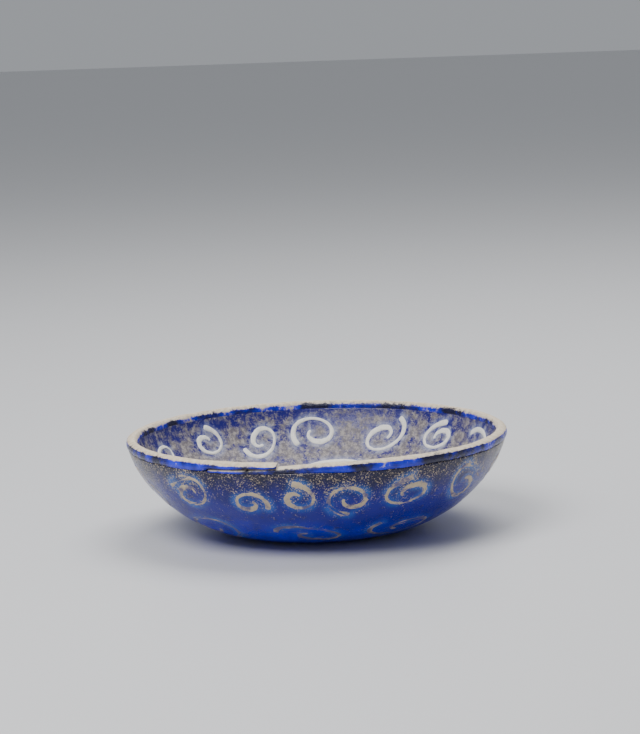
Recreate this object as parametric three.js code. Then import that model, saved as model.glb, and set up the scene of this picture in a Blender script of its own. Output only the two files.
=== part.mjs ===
// A shallow bowl of ancient mosaic glass, built as its maker built it.
//
// Slices of one glass cane, each a slab of blue glass with a white spiral running right through it, are laid
// side by side as a flat disc, fused, and slumped over a form until the disc has sunk into a bowl. A blue coil
// then finishes the edge. So every slice is laid out flat here, in the plane of the disc, and slump() carries
// it on to the curve of the bowl. Units are millimetres, +Z is up, and the bowl stands on z = 0.
import * as THREE from 'three';

// Size of the bowl
const bowlDiameter = 130; // across the outside of the slices, at their top edge
const sliceTop = 29.8; // height of the slices' outer top edge
const standRadius = 25; // flat underside that the bowl stands on
const wall = 3.4; // thickness of the fused slices

// Curve of the side, from the stand to the top edge
const bellyReach = 18.5; // how far the underside runs on, level, before it turns up
const lipFlare = 3.8; // how far the top edge leans out over the side below it
const lipRise = 13.7; // height of the side that the lean is spread over

// Rim coil
const coilWidth = 3.9; // across the edge, a little more than the wall
const coilHeight = 3.2;
const coilSeat = 3.0; // width of the flat on which the coil beds
const coilStations = 60; // steps round the plain part of the coil
const lapAngle = 22; // degrees over which the coil's two ends lie on each other
const lapRunOut = 18; // degrees in which the lower end swells back to the whole coil
const lapLift = 2.5; // degrees in which the upper end climbs on to the tip of the lower one
const lapCentre = -23; // degrees, where the joint sits round the rim
const lapTip = 0.9; // thickness at which each end stops

// White spirals
const bandWidth = 1.7; // mean width of the white glass
const bandSwell = 0.38; // share by which the width rises and falls along a spiral
const bandSteps = 22; // steps along one spiral
const blueBorder = 1.6; // blue glass left between a spiral and the edge of its slice
const coreRadius = 0.26; // where a spiral starts, as a share of its reach
const wobble = 0.07; // share by which a spiral strays in and out, twice a turn

// Joints between the glasses
const seam = 0.36; // between neighbouring slices, and under the coil
const inlay = 0.3; // between a white spiral and the blue glass round it

// Layout of the slices on the flat disc. A row's reach is its share of the disc's radius, since the rows
// spread out to fill the disc. Angles are in degrees from the front (-Y), turning towards +X.
const discSides = 84;
const edgeStep = 6; // longest straight run along a slice's edge
const rows = [
  { name: 'centre', reach: 0, angles: [0] },
  { name: 'base', reach: 0.333, angles: [-30, 42, 114, 186, 258] },
  { name: 'middle', reach: 0.622, angles: [-49, -3, 37, 82, 128, 172, 218, 262] },
  {
    name: 'upper',
    reach: 0.885,
    angles: [-77, -42, -20.5, -7, 8, 30, 53, 79, 105, 131, 156, 180, 202, 220, 248],
  },
];

// Each slice was cut from the cane and dropped in place as it fell, so the spirals turn either way, at any
// angle. turns and flat are how far one winds and how much it was squashed. lean is the tilt of its long
// axis from level, and start the angle at which its inner end lies on the round cane.
const falls = {
  centre: [{ turns: 1.45, flat: 0.86, lean: 20, start: 200, hand: 1 }],
  base: [
    { turns: 1.3, flat: 0.74, lean: -14, start: 150, hand: 1 },
    { turns: 1.4, flat: 0.7, lean: 12, start: 40, hand: -1 },
    { turns: 1.25, flat: 0.78, lean: 24, start: 260, hand: 1 },
    { turns: 1.35, flat: 0.72, lean: -8, start: 310, hand: -1 },
    { turns: 1.4, flat: 0.76, lean: 16, start: 90, hand: 1 },
  ],
  middle: [
    { turns: 1.25, flat: 0.68, lean: -20, start: 30, hand: 1 },
    { turns: 1.2, flat: 0.58, lean: 17, start: 230, hand: -1 },
    { turns: 1.25, flat: 0.56, lean: -6, start: 130, hand: 1 },
    { turns: 1.4, flat: 0.66, lean: 20, start: 320, hand: 1 },
    { turns: 1.3, flat: 0.7, lean: -15, start: 80, hand: -1 },
    { turns: 1.35, flat: 0.64, lean: 8, start: 190, hand: 1 },
    { turns: 1.25, flat: 0.7, lean: -24, start: 280, hand: -1 },
    { turns: 1.3, flat: 0.66, lean: 12, start: 350, hand: 1 },
  ],
  upper: [
    { turns: 1.3, flat: 0.72, lean: 30, start: 60, hand: 1 },
    { turns: 1.45, flat: 0.7, lean: -24, start: 20, hand: -1 },
    { turns: 1.2, flat: 0.82, lean: -12, start: 330, hand: 1 },
    { turns: 1.15, flat: 0.9, lean: 10, start: 300, hand: -1 },
    { turns: 1.3, flat: 0.84, lean: 8, start: 190, hand: -1 },
    { turns: 1.35, flat: 0.62, lean: -8, start: 150, hand: 1 },
    { turns: 1.3, flat: 0.7, lean: 32, start: 210, hand: 1 },
    { turns: 1.4, flat: 0.7, lean: 18, start: 100, hand: -1 },
    { turns: 1.3, flat: 0.74, lean: -20, start: 250, hand: 1 },
    { turns: 1.35, flat: 0.72, lean: 14, start: 10, hand: -1 },
    { turns: 1.25, flat: 0.76, lean: 26, start: 120, hand: 1 },
    { turns: 1.2, flat: 0.84, lean: -10, start: 340, hand: 1 },
    { turns: 1.25, flat: 0.84, lean: 36, start: 70, hand: -1 },
    { turns: 1.15, flat: 0.88, lean: -10, start: 220, hand: 1 },
    { turns: 1.4, flat: 0.68, lean: 16, start: 160, hand: -1 },
  ],
};

// Glass colours
const blueGlass = new THREE.MeshStandardMaterial({ color: 0x0b1e8f, roughness: 0.18, metalness: 0 });
const whiteGlass = new THREE.MeshStandardMaterial({ color: 0xcdbfa6, roughness: 0.75, metalness: 0 });
const rimGlass = new THREE.MeshStandardMaterial({ color: 0x1a2fae, roughness: 0.35, metalness: 0 });

const radians = THREE.MathUtils.degToRad;
const bowlRadius = bowlDiameter / 2;

// Outer outline of the bowl, from the middle of the underside to the top edge of the slices
const outline = new THREE.Path();
outline.moveTo(0, 0);
outline.lineTo(standRadius, 0);
outline.bezierCurveTo(
  standRadius + bellyReach, 0,
  bowlRadius - lipFlare, sliceTop - lipRise,
  bowlRadius, sliceTop,
);
const discRadius = outline.getLength();

// Point of the outline at a distance along it, with the direction of the outline and of the inner wall
function outlineAt(distance) {
  const share = Math.min(distance / discRadius, 1);
  const point = outline.getPoint(share);
  const along = outline.getTangent(share);
  return { point, along, inward: new THREE.Vector2(-along.y, along.x) };
}

// Place of a point of the outline's plane once it is turned round the bowl's axis
function turned(radius, height, angle) {
  return new THREE.Vector3(radius * Math.sin(angle), -radius * Math.cos(angle), height);
}

// Sinks a point of the flat disc into the bowl: its distance from the middle is measured along the outline,
// and depth is measured square to the wall, from the outer face inwards
function slump(x, y, depth) {
  const { point, inward } = outlineAt(Math.hypot(x, y));
  return turned(point.x + inward.x * depth, point.y + inward.y * depth, Math.atan2(x, -y));
}

// Keeps the part of a convex outline that lies behind a line: points p with p . normal <= limit
function cutBehind(points, normal, limit) {
  const kept = [];
  points.forEach((here, i) => {
    const next = points[(i + 1) % points.length];
    const a = here.dot(normal) - limit;
    const b = next.dot(normal) - limit;
    if (a <= 0) kept.push(here);
    if (a * b < 0) kept.push(here.clone().lerp(next, a / (a - b)));
  });
  return kept;
}

// Splits long straight runs, so that an outline can follow the curve of the bowl
function stepped(points, longest) {
  return points.flatMap((here, i) => {
    const next = points[(i + 1) % points.length];
    const count = Math.max(1, Math.ceil(here.distanceTo(next) / longest));
    return Array.from({ length: count }, (_, k) => here.clone().lerp(next, k / count));
  });
}

function onDisc(radius, angle) {
  return new THREE.Vector2(radius * Math.sin(angle), -radius * Math.cos(angle));
}

const discEdge = Array.from({ length: discSides }, (_, i) => onDisc(discRadius, (2 * Math.PI * i) / discSides));
const seedOf = (row, degrees) => onDisc(row.reach * discRadius, radians(degrees));
const seeds = rows.flatMap((row) => row.angles.map((degrees) => seedOf(row, degrees)));

// Edge of the slice round one seed: soft slices pushed together meet half way between their middles
function sliceEdge(seed) {
  let edge = discEdge;
  for (const other of seeds.filter((s) => s.distanceTo(seed) > seam)) {
    const away = other.clone().sub(seed).normalize();
    const middle = seed.clone().add(other).multiplyScalar(0.5);
    edge = cutBehind(edge, away, middle.dot(away) - seam / 2);
  }
  return edge;
}

// Centre of area of an outline
function middleOf(points) {
  const middle = new THREE.Vector2();
  let area = 0;
  points.forEach((a, i) => {
    const b = points[(i + 1) % points.length];
    const cross = a.cross(b);
    middle.addScaledVector(a.clone().add(b), cross);
    area += 3 * cross;
  });
  return middle.divideScalar(area);
}

// Half of the white band's width, a share t of the way along its spiral
function halfBand(t) {
  return (bandWidth / 2) * (1 + bandSwell * Math.sin(3 * Math.PI * t - Math.PI / 2));
}

// Middle line of a spiral that fills its slice, up to the blue border
function spiralLine(edge, fall, rowAngle) {
  const centre = middleOf(edge);
  const level = new THREE.Vector2(Math.cos(rowAngle), Math.sin(rowAngle));
  const tilt = level.angle() + radians(fall.lean);
  const line = Array.from({ length: bandSteps + 1 }, (_, i) => {
    const t = i / bandSteps;
    const angle = radians(fall.start) + fall.hand * 2 * Math.PI * fall.turns * t;
    const stray = 1 + wobble * Math.sin(2 * angle + fall.turns);
    const reach = (coreRadius + (1 - coreRadius) * t) * stray;
    const point = new THREE.Vector2(reach * Math.cos(angle), fall.flat * reach * Math.sin(angle));
    return point.rotateAround(new THREE.Vector2(), tilt);
  });
  const room = [];
  edge.forEach((a, i) => {
    const b = edge[(i + 1) % edge.length];
    const out = new THREE.Vector2(b.y - a.y, a.x - b.x).normalize();
    const limit = a.clone().sub(centre).dot(out) - blueBorder;
    line.forEach((p, k) => {
      if (p.dot(out) > 0) room.push((limit - halfBand(k / bandSteps)) / p.dot(out));
    });
  });
  const size = Math.min(...room);
  return line.map((p) => p.multiplyScalar(size).add(centre));
}

// Outline of a band that follows a line, wider than the white glass by play on every side
function bandEdge(line, play) {
  const last = line.length - 1;
  const left = [];
  const right = [];
  line.forEach((p, i) => {
    const along = line[Math.min(i + 1, last)].clone().sub(line[Math.max(i - 1, 0)]).normalize();
    const across = new THREE.Vector2(-along.y, along.x).multiplyScalar(halfBand(i / last) + play);
    const push = i === 0 ? -play : i === last ? play : 0;
    const place = p.clone().addScaledVector(along, push);
    left.push(place.clone().add(across));
    right.push(place.clone().sub(across));
  });
  return [...left, ...right.reverse()];
}

// A flat slab of the given outline, sunk into the bowl
function slumpedSlab(edge, hole) {
  const shape = new THREE.Shape(edge);
  if (hole) shape.holes.push(new THREE.Path(hole));
  const slab = new THREE.ExtrudeGeometry(shape, { depth: wall, bevelEnabled: false, steps: 1 });
  const position = slab.getAttribute('position');
  for (let i = 0; i < position.count; i++) {
    const sunk = slump(position.getX(i), position.getY(i), position.getZ(i));
    position.setXYZ(i, sunk.x, sunk.y, sunk.z);
  }
  slab.computeVertexNormals();
  return slab;
}

function addMesh(group, name, geometry, material) {
  const mesh = new THREE.Mesh(geometry, material);
  mesh.name = name;
  group.add(mesh);
}

// Every slice is two pieces: the blue slab, with a spiral slot through it, and the white glass in the slot
function buildSlices(group) {
  for (const row of rows) {
    row.angles.forEach((degrees, i) => {
      const angle = radians(degrees);
      const edge = sliceEdge(seedOf(row, degrees));
      const line = spiralLine(edge, falls[row.name][i], angle);
      const number = String(i + 1).padStart(2, '0');
      const slice = slumpedSlab(stepped(edge, edgeStep), bandEdge(line, inlay));
      const spiral = slumpedSlab(bandEdge(line, 0));
      addMesh(group, `${row.name}_slice_${number}`, slice, blueGlass);
      addMesh(group, `${row.name}_spiral_${number}`, spiral, whiteGlass);
    });
  }
}

// Cross section of the coil between two heights above its seat: flat below and round above. The first number
// of a point runs across the wall, from its middle line outwards, and the second up from the seat.
function coilSection(low, high) {
  const seat = coilSeat / 2;
  const half = coilWidth / 2;
  const tall = high - low;
  const shape = [
    [-seat, 0], [0, 0], [seat, 0],
    [half, 0.28], [half * 0.97, 0.58], [half * 0.68, 0.88], [0, 1],
    [-half * 0.68, 0.88], [-half * 0.97, 0.58], [-half, 0.28],
  ];
  return shape.map(([across, up]) => [across, low + up * tall]);
}

// Heights of the coil's underside and top along its length. Its two ends taper and lie on each other.
function coilRun() {
  const start = lapCentre - lapAngle / 2;
  const finish = start + 360;
  const plainFrom = start + lapAngle + lapRunOut;
  const plainTo = finish - lapLift;
  const belowTip = coilHeight - lapTip - seam;
  const lapSteps = 5;
  const run = [];
  for (let i = 0; i <= lapSteps; i++) {
    const t = i / lapSteps;
    run.push({ at: start + lapAngle * t, low: 0, high: lapTip + (belowTip - lapTip) * t });
  }
  for (let i = 0; i <= coilStations; i++) {
    run.push({ at: plainFrom + ((plainTo - plainFrom) * i) / coilStations, low: 0, high: coilHeight });
  }
  for (let i = 0; i <= lapSteps; i++) {
    const t = i / lapSteps;
    const rise = lapTip + seam + (belowTip - lapTip) * t;
    run.push({ at: finish + lapAngle * t, low: rise, high: coilHeight });
  }
  return run;
}

// The coil that closes the edge, bedded on the top edges of the upper slices
function rimCoil() {
  const { point, along, inward } = outlineAt(discRadius);
  const sections = coilRun().map(({ at, low, high }) =>
    coilSection(low, high).map(([across, up]) => {
      const rise = seam + up;
      const inset = wall / 2 - across;
      return turned(
        point.x + along.x * rise + inward.x * inset,
        point.y + along.y * rise + inward.y * inset,
        radians(at),
      );
    }),
  );
  const sides = sections[0].length;
  const faces = [];
  for (let i = 0; i + 1 < sections.length; i++) {
    for (let k = 0; k < sides; k++) {
      const a = i * sides + k;
      const b = i * sides + ((k + 1) % sides);
      faces.push(a, a + sides, b, b, a + sides, b + sides);
    }
  }
  const end = (sections.length - 1) * sides;
  for (let k = 1; k + 1 < sides; k++) {
    faces.push(0, k, k + 1);
    faces.push(end, end + k + 1, end + k);
  }
  const geometry = new THREE.BufferGeometry().setFromPoints(sections.flat());
  geometry.setIndex(faces);
  geometry.computeVertexNormals();
  return geometry;
}

const bowl = new THREE.Group();
buildSlices(bowl);
addMesh(bowl, 'rim_coil', rimCoil(), rimGlass);

export default bowl;
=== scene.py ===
# %% [markdown]
# # An ancient mosaic glass bowl
# The bowl was made from slices of one glass cane, cobalt blue with a white spiral rolled into it. The slices
# were laid out flat, fused into a disc and slumped over a form, and a coil of blue glass closed the edge.
# The solids of every slice, spiral and coil come ready made in the frame. This script gives them the
# softness, colour and wear of glass that lay in the ground for two thousand years.

# %% Tools and the frame
import math

import bmesh
import bpy
from mathutils import Matrix, Vector
from mathutils.bvhtree import BVHTree


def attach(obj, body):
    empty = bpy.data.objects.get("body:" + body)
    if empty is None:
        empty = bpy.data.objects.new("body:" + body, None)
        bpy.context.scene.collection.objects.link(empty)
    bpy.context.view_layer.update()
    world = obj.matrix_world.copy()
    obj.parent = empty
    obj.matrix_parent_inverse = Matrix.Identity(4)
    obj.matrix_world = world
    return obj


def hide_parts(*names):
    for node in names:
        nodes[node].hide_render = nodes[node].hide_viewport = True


MM = 0.001

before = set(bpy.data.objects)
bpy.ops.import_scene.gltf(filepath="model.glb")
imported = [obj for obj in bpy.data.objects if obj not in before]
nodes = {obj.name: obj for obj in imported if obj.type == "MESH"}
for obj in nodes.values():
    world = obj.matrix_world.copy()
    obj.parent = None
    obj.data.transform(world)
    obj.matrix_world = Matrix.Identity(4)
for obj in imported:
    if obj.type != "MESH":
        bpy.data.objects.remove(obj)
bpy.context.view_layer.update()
spiral_nodes = sorted(name for name in nodes if "_spiral_" in name)
slice_nodes = sorted(name for name in nodes if "_slice_" in name)

# %% [markdown]
# ## The camera
# The bowl is seen from a little above its edge. A long lens keeps the two sides of the rim almost parallel,
# as in the photograph. The bowl sits below the middle of the picture, so the camera aims above it, and the
# photograph is turned a little, so the camera is rolled rather than the bowl being made to lean.

# %% Camera
PICTURE_WIDTH = 640
PICTURE_HEIGHT = 734
BOWL_IN_PICTURE = (318.1, 479.1)  # where the middle of the bowl shows, in pixels
PIXELS_PER_MM = 2.885
CAMERA_DISTANCE = 1.1
CAMERA_HEIGHT_ANGLE = math.radians(10.6)
CAMERA_ROLL = math.radians(-2.0)
SENSOR = 36.0
BOWL_MIDDLE = Vector((0, 0, 16.5 * MM))


def place_camera():
    away = Vector((0, -math.cos(CAMERA_HEIGHT_ANGLE), math.sin(CAMERA_HEIGHT_ANGLE)))
    place = BOWL_MIDDLE + away * CAMERA_DISTANCE
    level_right = Vector((1, 0, 0))
    level_up = away.cross(level_right)
    roll = Matrix.Rotation(CAMERA_ROLL, 3, away)
    right, up = roll @ level_right, roll @ level_up
    off_x = (BOWL_IN_PICTURE[0] - PICTURE_WIDTH / 2) / PIXELS_PER_MM * MM
    off_y = (PICTURE_HEIGHT / 2 - BOWL_IN_PICTURE[1]) / PIXELS_PER_MM * MM
    aim = BOWL_MIDDLE - right * off_x - up * off_y
    back = (place - aim).normalized()
    side = up.cross(back).normalized()
    top = back.cross(side)
    camera = bpy.data.objects.new("camera", bpy.data.cameras.new("camera"))
    camera.matrix_world = Matrix((side, top, back)).transposed().to_4x4()
    camera.location = place
    pixels_focal = PIXELS_PER_MM / MM * CAMERA_DISTANCE
    camera.data.sensor_width = SENSOR
    camera.data.lens = pixels_focal * SENSOR / PICTURE_HEIGHT
    bpy.context.scene.collection.objects.link(camera)
    bpy.context.scene.camera = camera
    print("camera at", tuple(round(c, 4) for c in place), "lens", round(camera.data.lens, 1))


place_camera()

# %% [markdown]
# ## Helpers for the materials
# Each material is a small network of nodes. These helpers keep the networks short: one starts a material, one
# sets or links a socket, and the others add a sum, a ramp, a mix of two colours, a noise or a bump.

# %% Material helpers


def new_material(name):
    material = bpy.data.materials.new(name)
    material.use_nodes = True
    tree = material.node_tree
    tree.nodes.clear()
    output = tree.nodes.new("ShaderNodeOutputMaterial")
    surface = tree.nodes.new("ShaderNodeBsdfPrincipled")
    tree.links.new(surface.outputs["BSDF"], output.inputs["Surface"])
    return material, tree, surface


def feed(tree, socket, value):
    """Sets a socket to a number or colour, or links another socket to it."""
    if isinstance(value, bpy.types.NodeSocket):
        tree.links.new(value, socket)
    else:
        socket.default_value = value


def add_math(tree, operation, first, second=0.0):
    node = tree.nodes.new("ShaderNodeMath")
    node.operation = operation
    feed(tree, node.inputs[0], first)
    feed(tree, node.inputs[1], second)
    return node.outputs[0]


def add_ramp(tree, value, low, high, from_value=0.0, to_value=1.0):
    """Takes a value from low..high to from_value..to_value, smoothly and clamped."""
    node = tree.nodes.new("ShaderNodeMapRange")
    node.interpolation_type = "SMOOTHSTEP"
    feed(tree, node.inputs["Value"], value)
    node.inputs["From Min"].default_value = low
    node.inputs["From Max"].default_value = high
    node.inputs["To Min"].default_value = from_value
    node.inputs["To Max"].default_value = to_value
    return node.outputs["Result"]


def add_mix(tree, share, first, second):
    node = tree.nodes.new("ShaderNodeMix")
    node.data_type = "RGBA"
    feed(tree, node.inputs[0], share)
    feed(tree, node.inputs[6], first)
    feed(tree, node.inputs[7], second)
    return node.outputs[2]


def add_noise(tree, coordinates, size_mm, detail=4.0, roughness=0.6):
    """Cloudy noise whose patches are about size_mm across."""
    node = tree.nodes.new("ShaderNodeTexNoise")
    node.inputs["Scale"].default_value = 1 / (size_mm * MM)
    node.inputs["Detail"].default_value = detail
    node.inputs["Roughness"].default_value = roughness
    tree.links.new(coordinates, node.inputs["Vector"])
    return node.outputs[0]


def object_place(tree):
    return tree.nodes.new("ShaderNodeTexCoord").outputs["Object"]


def add_bump(tree, surface, height, distance_mm, strength=1.0):
    node = tree.nodes.new("ShaderNodeBump")
    node.inputs["Strength"].default_value = strength
    node.inputs["Distance"].default_value = distance_mm * MM
    feed(tree, node.inputs["Height"], height)
    tree.links.new(node.outputs["Normal"], surface.inputs["Normal"])


# %% [markdown]
# ## Inside or outside
# The inside of the bowl carries a silvery film, and the outside doesn't. All the inside faces look towards a
# point above the bowl's middle, so the angle between a face and the way to that point tells them apart.

# %% Inside mask
FOCUS = (0.0, 0.0, 80 * MM)


def inside_share(tree, place):
    to_focus = tree.nodes.new("ShaderNodeVectorMath")
    to_focus.operation = "SUBTRACT"
    to_focus.inputs[0].default_value = FOCUS
    tree.links.new(place, to_focus.inputs[1])
    unit = tree.nodes.new("ShaderNodeVectorMath")
    unit.operation = "NORMALIZE"
    tree.links.new(to_focus.outputs[0], unit.inputs[0])
    facing = tree.nodes.new("ShaderNodeVectorMath")
    facing.operation = "DOT_PRODUCT"
    tree.links.new(unit.outputs[0], facing.inputs[0])
    tree.links.new(tree.nodes.new("ShaderNodeNewGeometry").outputs["Normal"], facing.inputs[1])
    return add_ramp(tree, facing.outputs["Value"], -0.1, 0.25)


def height_of(tree, place):
    parts = tree.nodes.new("ShaderNodeSeparateXYZ")
    tree.links.new(place, parts.inputs[0])
    return parts.outputs["Z"]


# %% [markdown]
# ## The cobalt glass
# Cobalt glass is nearly black where it is thick and in shade, and bright where light comes through it. The
# outside
# has this painted in: painted light makes it bright blue low down, and painted shade makes it dark navy under
# the rim. Round the spirals the blue is thinned by white glass and turns azure. Weathering shows as beige
# specks, thickest under the rim, and as the film on the inside.

# %% Cobalt glass
NAVY = (0.0008, 0.001, 0.032, 1)
COBALT = (0.0, 0.001, 0.26, 1)
BRIGHT_BLUE = (0.0, 0.008, 0.72, 1)
AZURE = (0.03, 0.17, 0.62, 1)
BEIGE = (0.50, 0.40, 0.27, 1)
SILVER_FILM = (0.36, 0.325, 0.30, 1)
PURPLE_BLUE = (0.012, 0.010, 0.16, 1)
DARK_FILM = (0.13, 0.115, 0.13, 1)
PALE_GLOW = (0.42, 0.48, 0.75, 1)


def cobalt_glass():
    material, tree, surface = new_material("cobalt_glass")
    place = object_place(tree)
    height = height_of(tree, place)
    inside = inside_share(tree, place)
    near = tree.nodes.new("ShaderNodeAttribute")
    near.attribute_name = "near_spiral"
    clouds = add_noise(tree, place, 9, 5.0)
    streaks = add_noise(tree, place, 3.2, 6.0)
    grains = add_noise(tree, place, 0.55, 3.0, 0.7)
    # The colour of the outside, from the foot up: painted light makes it bright blue low down, painted shade
    # dark navy under the rim
    up_wall = add_math(tree, "ADD", height, add_math(tree, "MULTIPLY", clouds, 16 * MM))
    blue = add_mix(tree, add_ramp(tree, up_wall, 9 * MM, 22 * MM), BRIGHT_BLUE, COBALT)
    blue = add_mix(tree, add_ramp(tree, up_wall, 24 * MM, 38 * MM), blue, NAVY)
    blue = add_mix(tree, add_ramp(tree, streaks, 0.52, 0.75, 0.0, 0.55), blue, NAVY)
    halo = add_math(tree, "MULTIPLY", near.outputs["Fac"], add_ramp(tree, clouds, 0.35, 0.65))
    blue = add_mix(tree, add_math(tree, "MULTIPLY", halo, 0.75), blue, AZURE)
    # Specks of weathering, thickest under the rim
    crowding = add_ramp(tree, height, 12 * MM, 31 * MM, 0.0, 0.10)
    speck_level = add_math(tree, "ADD", grains, crowding)
    speck_level = add_math(tree, "ADD", speck_level, add_math(tree, "MULTIPLY", streaks, 0.35))
    speck_level = add_math(tree, "ADD", speck_level, add_math(tree, "MULTIPLY", near.outputs["Fac"], 0.05))
    specks = add_ramp(tree, speck_level, 0.83, 0.90)
    outside = add_mix(tree, specks, blue, BEIGE)
    # The film on the inside, thinner near the rim and round the spirals, where a pale glow comes through
    film = add_math(tree, "ADD", streaks, add_math(tree, "MULTIPLY", grains, 0.6))
    film = add_math(tree, "SUBTRACT", film, 0.02)
    film = add_math(tree, "SUBTRACT", film, add_ramp(tree, height, 20 * MM, 33 * MM, 0.0, 0.16))
    film = add_math(tree, "SUBTRACT", film, add_math(tree, "MULTIPLY", near.outputs["Fac"], 0.10))
    film = add_ramp(tree, film, 0.55, 0.82)
    dust = add_noise(tree, place, 1.4, 6.0, 0.75)
    dusty = add_mix(tree, add_ramp(tree, dust, 0.42, 0.62), DARK_FILM, SILVER_FILM)
    lining = add_mix(tree, film, PURPLE_BLUE, dusty)
    glow = add_math(tree, "MULTIPLY", near.outputs["Fac"], add_ramp(tree, streaks, 0.35, 0.6))
    lining = add_mix(tree, add_math(tree, "MULTIPLY", glow, 0.45), lining, PALE_GLOW)
    colour = add_mix(tree, inside, outside, lining)
    feed(tree, surface.inputs["Base Color"], colour)
    dull = add_math(tree, "MAXIMUM", specks, add_math(tree, "MULTIPLY", inside, film))
    feed(tree, surface.inputs["Roughness"], add_ramp(tree, dull, 0.0, 1.0, 0.16, 0.62))
    surface.inputs["IOR"].default_value = 1.45
    pits = add_math(tree, "ADD", grains, add_math(tree, "MULTIPLY", streaks, 0.8))
    add_bump(tree, surface, pits, 0.25, 0.6)
    return material


# %% [markdown]
# ## The white glass
# The white of the spirals is opaque. On the outside it has weathered to beige with brown pits, and low on the
# wall, where it lies under a skin of blue, it shows as a dim thread. Inside it is almost clean white.

# %% White glass
CREAM = (0.60, 0.49, 0.34, 1)
CLEAN_WHITE = (0.82, 0.80, 0.74, 1)
BROWN = (0.16, 0.075, 0.03, 1)
DROWNED = (0.045, 0.04, 0.20, 1)


def white_glass():
    material, tree, surface = new_material("white_glass")
    place = object_place(tree)
    height = height_of(tree, place)
    inside = inside_share(tree, place)
    patches = add_noise(tree, place, 5, 5.0)
    mottle = add_noise(tree, place, 1.2, 5.0, 0.7)
    grains = add_noise(tree, place, 0.45, 3.0, 0.7)
    body = add_mix(tree, add_ramp(tree, mottle, 0.35, 0.7), BEIGE, CREAM)
    pits = add_ramp(tree, add_math(tree, "ADD", grains, add_math(tree, "MULTIPLY", mottle, 0.5)), 0.86, 0.98)
    body = add_mix(tree, add_math(tree, "MULTIPLY", pits, 0.7), body, BROWN)
    sunk = add_math(tree, "SUBTRACT", patches, add_ramp(tree, height, 3 * MM, 24 * MM, 0.0, 0.16))
    sunk = add_math(tree, "ADD", sunk, add_math(tree, "MULTIPLY", grains, 0.25))
    skin = add_ramp(tree, sunk, 0.46, 0.60)
    outside = add_mix(tree, add_math(tree, "MULTIPLY", skin, 0.85), body, DROWNED)
    clean = add_mix(tree, add_ramp(tree, mottle, 0.5, 0.8, 0.0, 0.5), CLEAN_WHITE, SILVER_FILM)
    feed(tree, surface.inputs["Base Color"], add_mix(tree, inside, outside, clean))
    feed(tree, surface.inputs["Roughness"], add_ramp(tree, mottle, 0.3, 0.7, 0.3, 0.65))
    surface.inputs["IOR"].default_value = 1.5
    add_bump(tree, surface, add_math(tree, "ADD", grains, mottle), 0.3, 0.7)
    return material


# %% [markdown]
# ## The rim glass
# The coil is the same blue, but its crown has lost its polish and is crusted beige and white. The blue shows
# through in patches and along the coil's sides.

# %% Rim glass
CRUST = (0.66, 0.58, 0.47, 1)


def rim_glass():
    material, tree, surface = new_material("rim_glass")
    place = object_place(tree)
    inside = inside_share(tree, place)
    patches = add_noise(tree, place, 11, 4.0)
    mottle = add_noise(tree, place, 1.6, 6.0, 0.7)
    grains = add_noise(tree, place, 0.5, 3.0, 0.7)
    normal = tree.nodes.new("ShaderNodeSeparateXYZ")
    tree.links.new(tree.nodes.new("ShaderNodeNewGeometry").outputs["Normal"], normal.inputs[0])
    crown = add_ramp(tree, normal.outputs["Z"], 0.1, 0.95, 0.0, 0.30)
    blue = add_mix(tree, add_ramp(tree, patches, 0.4, 0.65), NAVY, BRIGHT_BLUE)
    level = add_math(tree, "ADD", add_math(tree, "MULTIPLY", patches, 0.7), crown)
    level = add_math(tree, "ADD", level, add_math(tree, "MULTIPLY", mottle, 0.6))
    level = add_math(tree, "ADD", level, add_math(tree, "MULTIPLY", inside, 0.05))
    crust = add_ramp(tree, level, 0.76, 0.90)
    crusted = add_mix(tree, add_ramp(tree, mottle, 0.35, 0.65), BEIGE, CRUST)
    feed(tree, surface.inputs["Base Color"], add_mix(tree, crust, blue, crusted))
    feed(tree, surface.inputs["Roughness"], add_ramp(tree, crust, 0.0, 1.0, 0.22, 0.6))
    surface.inputs["IOR"].default_value = 1.5
    add_bump(tree, surface, add_math(tree, "ADD", grains, mottle), 0.3, 0.6)
    return material


materials = {"blue": cobalt_glass(), "white": white_glass(), "rim": rim_glass()}
print("materials", [m.name for m in materials.values()])

# %% [markdown]
# ## Softening and wear, as a node tree
# Hot glass rounds every edge, and two thousand years in the ground leave it uneven. The same rule makes both
# on every piece, so it is one Geometry Nodes tree: subdivide with the sharp edges held, then push the surface
# in and out by slow waves and fine grain, and lift it by a set height. The waves depend on the place only, so
# pieces that touch move together.

# %% Worn glass tree


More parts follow.
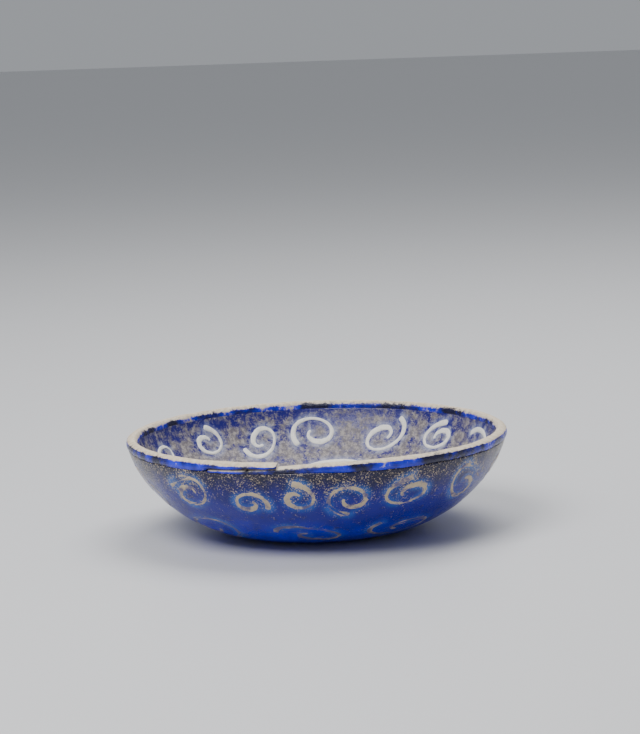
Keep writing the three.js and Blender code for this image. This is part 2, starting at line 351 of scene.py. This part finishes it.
def worn_glass_tree():
    tree = bpy.data.node_groups.new("worn_glass", "GeometryNodeTree")
    make = tree.interface.new_socket
    make("Geometry", in_out="INPUT", socket_type="NodeSocketGeometry")
    make("Levels", in_out="INPUT", socket_type="NodeSocketInt")
    for label in ("Edge Hold", "Wave Depth", "Grain Depth", "Lift"):
        make(label, in_out="INPUT", socket_type="NodeSocketFloat")
    make("Glass", in_out="INPUT", socket_type="NodeSocketMaterial")
    make("Geometry", in_out="OUTPUT", socket_type="NodeSocketGeometry")
    add = tree.nodes.new
    link = tree.links.new
    given, result = add("NodeGroupInput"), add("NodeGroupOutput")
    angle = add("GeometryNodeInputMeshEdgeAngle")
    sharp = add_math(tree, "GREATER_THAN", angle.outputs["Unsigned Angle"], math.radians(40))
    hold = add_math(tree, "MULTIPLY", sharp, given.outputs["Edge Hold"])
    soften = add("GeometryNodeSubdivisionSurface")
    link(given.outputs["Geometry"], soften.inputs["Mesh"])
    link(given.outputs["Levels"], soften.inputs["Level"])
    link(hold, soften.inputs["Edge Crease"])
    place = add("GeometryNodeInputPosition").outputs[0]
    waves = add_math(tree, "SUBTRACT", add_noise(tree, place, 11, 2.0), 0.5)
    grain = add_math(tree, "SUBTRACT", add_noise(tree, place, 1.3, 3.0), 0.5)
    push = add_math(tree, "MULTIPLY", waves, given.outputs["Wave Depth"])
    push = add_math(tree, "ADD", push, add_math(tree, "MULTIPLY", grain, given.outputs["Grain Depth"]))
    push = add_math(tree, "ADD", push, given.outputs["Lift"])
    offset = add("ShaderNodeVectorMath")
    offset.operation = "SCALE"
    link(add("GeometryNodeInputNormal").outputs[0], offset.inputs[0])
    link(push, offset.inputs["Scale"])
    move = add("GeometryNodeSetPosition")
    link(soften.outputs["Mesh"], move.inputs["Geometry"])
    link(offset.outputs[0], move.inputs["Offset"])
    smooth = add("GeometryNodeSetShadeSmooth")
    link(move.outputs["Geometry"], smooth.inputs["Geometry"])
    real = add("GeometryNodeRealizeInstances")
    link(smooth.outputs["Geometry"], real.inputs["Geometry"])
    dress = add("GeometryNodeSetMaterial")
    link(real.outputs["Geometry"], dress.inputs["Geometry"])
    link(given.outputs["Glass"], dress.inputs["Material"])
    link(dress.outputs["Geometry"], result.inputs["Geometry"])
    return tree


worn_glass = worn_glass_tree()


def wear(name, mesh, material, settings):
    """Runs a mesh through the worn glass tree, its inputs set by name, and returns the finished object."""
    rough = bpy.data.objects.new(name + "_rough", mesh)
    bpy.context.scene.collection.objects.link(rough)
    modifier = rough.modifiers.new("worn_glass", "NODES")
    modifier.node_group = worn_glass
    wanted = {"Glass": material, **settings}
    for item in worn_glass.interface.items_tree:
        if item.in_out == "INPUT" and item.name in wanted:
            modifier[item.identifier] = wanted[item.name]
    bpy.context.view_layer.update()
    evaluated = rough.evaluated_get(bpy.context.evaluated_depsgraph_get())
    finished = bpy.data.meshes.new_from_object(evaluated)
    finished.name = name
    bpy.data.objects.remove(rough)
    piece = bpy.data.objects.new(name, finished)
    bpy.context.scene.collection.objects.link(piece)
    return piece


# %% [markdown]
# ## From a CAD solid to a soft mesh
# A solid of the frame is loose triangles. A copy of it is merged into one skin, and its triangles are joined
# back into four-sided faces, because these bend evenly when the surface is subdivided.

# %% Merged copies
MERGE_DISTANCE = 0.002 * MM
FLAT_ENOUGH = math.radians(30)  # two triangles that bend less than this become one face
ANY_SHAPE = math.radians(180)


def merged_copy(node):
    work = bmesh.new()
    work.from_mesh(nodes[node].data)
    bmesh.ops.remove_doubles(work, verts=work.verts, dist=MERGE_DISTANCE)
    bmesh.ops.join_triangles(
        work, faces=work.faces, angle_face_threshold=FLAT_ENOUGH, angle_shape_threshold=ANY_SHAPE
    )
    mesh = bpy.data.meshes.new(node + "_skin")
    work.to_mesh(mesh)
    work.free()
    return mesh


# %% [markdown]
# ## The white spirals
# Each spiral runs right through the wall, so it shows inside and outside. It stands a hair proud of the blue,
# because the softer blue glass has worn away more.

# %% White spirals
SPIRAL_WEAR = {
    "Levels": 2,
    "Edge Hold": 0.55,
    "Wave Depth": 0.3 * MM,
    "Grain Depth": 0.12 * MM,
    "Lift": 0.13 * MM,
}


def make_spirals():
    faces = 0
    for node in spiral_nodes:
        piece = wear("worn_" + node, merged_copy(node), materials["white"], SPIRAL_WEAR)
        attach(piece, "root")
        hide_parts(node)
        faces += len(piece.data.polygons)
    print("spiral faces", faces)


make_spirals()

# %% [markdown]
# ## The fused blue body
# The slices fused into one wall, with no gap between them. The wall is turned from its outline, as a potter's
# template would: out along the flat underside, up the side in one curve, and back down the inside at the
# wall's thickness. The outline has the same sizes as the solids have.

# %% Outline of the wall
STAND_RADIUS = 25 * MM
BOWL_RADIUS = 65 * MM
SLICE_TOP = 29.8 * MM
WALL = 3.4 * MM
BELLY_REACH = 18.5 * MM
LIP_FLARE = 3.8 * MM
LIP_RISE = 13.7 * MM
COIL_JOINT = 0.6 * MM  # the wall's top edge melted up into the coil
SIDE_STEPS = 62
FLAT_STEPS = 24
TURN_STEPS = 480


def side_point(t):
    """A place on the side's curve and the way that the curve runs there, t from 0 to 1."""
    points = [
        Vector((STAND_RADIUS, 0)),
        Vector((STAND_RADIUS + BELLY_REACH, 0)),
        Vector((BOWL_RADIUS - LIP_FLARE, SLICE_TOP - LIP_RISE)),
        Vector((BOWL_RADIUS, SLICE_TOP)),
    ]
    s = 1 - t
    place = points[0] * s**3 + points[1] * 3 * s * s * t + points[2] * 3 * s * t * t + points[3] * t**3
    first, second, third = points[1] - points[0], points[2] - points[1], points[3] - points[2]
    along = first * s * s + second * 2 * s * t + third * t * t
    return place, along.normalized()


def wall_outline():
    outer, inner = [], []
    for i in range(1, FLAT_STEPS):
        reach = STAND_RADIUS * i / FLAT_STEPS
        outer.append(Vector((reach, 0)))
        inner.append(Vector((reach, WALL)))
    for i in range(SIDE_STEPS + 1):
        place, along = side_point(i / SIDE_STEPS)
        outer.append(place)
        inner.append(place + Vector((-along.y, along.x)) * WALL)
    outer.append(outer[-1] + along * COIL_JOINT)
    inner.append(inner[-1] + along * COIL_JOINT)
    return outer + inner[::-1]


# %% Turned wall


def turned_wall():
    outline = wall_outline()
    places = [(0, 0, 0), (0, 0, WALL)]
    for x, z in outline:
        for k in range(TURN_STEPS):
            angle = 2 * math.pi * k / TURN_STEPS
            places.append((x * math.cos(angle), x * math.sin(angle), z))
    faces = []
    rings = len(outline)
    for k in range(TURN_STEPS):
        after = (k + 1) % TURN_STEPS
        faces.append((0, 2 + after, 2 + k))
        last = 2 + (rings - 1) * TURN_STEPS
        faces.append((1, last + k, last + after))
        for i in range(rings - 1):
            low = 2 + i * TURN_STEPS
            high = low + TURN_STEPS
            faces.append((low + k, low + after, high + after, high + k))
    mesh = bpy.data.meshes.new("turned_wall")
    mesh.from_pydata(places, [], faces)
    mesh.update()
    return mesh


# %% [markdown]
# ## How near each point of the wall is to a spiral
# The blue turns azure beside the white. Every point of the wall is measured to the nearest spiral, and the
# result is kept on the mesh as an attribute for the material to read.

# %% Nearness to the spirals
HALO_WIDTH = 2.6 * MM


def spiral_finder():
    places, faces = [], []
    for node in spiral_nodes:
        mesh = nodes[node].data
        start = len(places)
        places += [v.co.copy() for v in mesh.vertices]
        faces += [[start + i for i in p.vertices] for p in mesh.polygons]
    return BVHTree.FromPolygons(places, faces)


def mark_nearness(mesh):
    finder = spiral_finder()
    attribute = mesh.attributes.new("near_spiral", "FLOAT", "POINT")
    for i, vertex in enumerate(mesh.vertices):
        distance = finder.find_nearest(vertex.co)[3]
        attribute.data[i].value = max(0.0, 1 - distance / HALO_WIDTH) ** 1.5


# %% Blue body
BODY_WEAR = {
    "Levels": 0,
    "Edge Hold": 0.0,
    "Wave Depth": 0.3 * MM,
    "Grain Depth": 0.06 * MM,
    "Lift": 0.0,
}


def make_body():
    piece = wear("fused_blue_body", turned_wall(), materials["blue"], BODY_WEAR)
    mark_nearness(piece.data)
    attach(piece, "root")
    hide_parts(*slice_nodes)
    print("body faces", len(piece.data.polygons))


make_body()

# %% [markdown]
# ## The rim coil
# The coil went on as a soft thread, pressed down along the edge, with its two ends lapped over each other at
# the front. It is the thickest, roughest glass of the bowl, so it gets deeper waves than the rest.

# %% Rim coil
RIM_WEAR = {
    "Levels": 3,
    "Edge Hold": 0.35,
    "Wave Depth": 0.55 * MM,
    "Grain Depth": 0.2 * MM,
    "Lift": 0.1 * MM,
}


def make_rim():
    piece = wear("worn_rim_coil", merged_copy("rim_coil"), materials["rim"], RIM_WEAR)
    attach(piece, "root")
    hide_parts("rim_coil")
    print("rim faces", len(piece.data.polygons))


make_rim()

# %% [markdown]
# ## Floor and light
# The bowl stands on a plain pale floor. One broad soft light comes from above, left of the camera, a second
# from above and behind, and the pale world fills the shadows.

# %% Floor and light
FLOOR_SIZE = 6.0
FLOOR_GREY = (0.62, 0.62, 0.63, 1)
FLOOR_DROP = 0.2 * MM  # keeps the floor clear of the worn underside
KEY_LIGHT = {"place": (-0.35, -0.45, 0.75), "size": 0.5, "power": 9.0}
TOP_LIGHT = {"place": (0.15, 0.35, 0.8), "size": 0.6, "power": 8.0}
SKY_COLOUR = (0.9, 0.94, 1.0, 1)
SKY_STRENGTH = 0.38


def make_floor():
    mesh = bpy.data.meshes.new("floor")
    half = FLOOR_SIZE / 2
    corners = [(-half, -half, 0), (half, -half, 0), (half, half, 0), (-half, half, 0)]
    mesh.from_pydata(corners, [], [(0, 1, 2, 3)])
    material, tree, surface = new_material("pale_floor")
    surface.inputs["Base Color"].default_value = FLOOR_GREY
    surface.inputs["Roughness"].default_value = 0.35
    mesh.materials.append(material)
    floor = bpy.data.objects.new("floor", mesh)
    floor.location.z = -FLOOR_DROP
    bpy.context.scene.collection.objects.link(floor)


def add_soft_light(name, place, size, power):
    light = bpy.data.lights.new(name, "AREA")
    light.size = size
    light.energy = power
    lamp = bpy.data.objects.new(name, light)
    lamp.location = place
    lamp.rotation_euler = (-Vector(place)).to_track_quat("-Z", "Y").to_euler()
    bpy.context.scene.collection.objects.link(lamp)


def set_world():
    world = bpy.data.worlds.new("soft_room")
    world.use_nodes = True
    background = world.node_tree.nodes["Background"]
    background.inputs["Color"].default_value = SKY_COLOUR
    background.inputs["Strength"].default_value = SKY_STRENGTH
    bpy.context.scene.world = world


make_floor()
add_soft_light("key_light", **KEY_LIGHT)
add_soft_light("top_light", **TOP_LIGHT)
set_world()
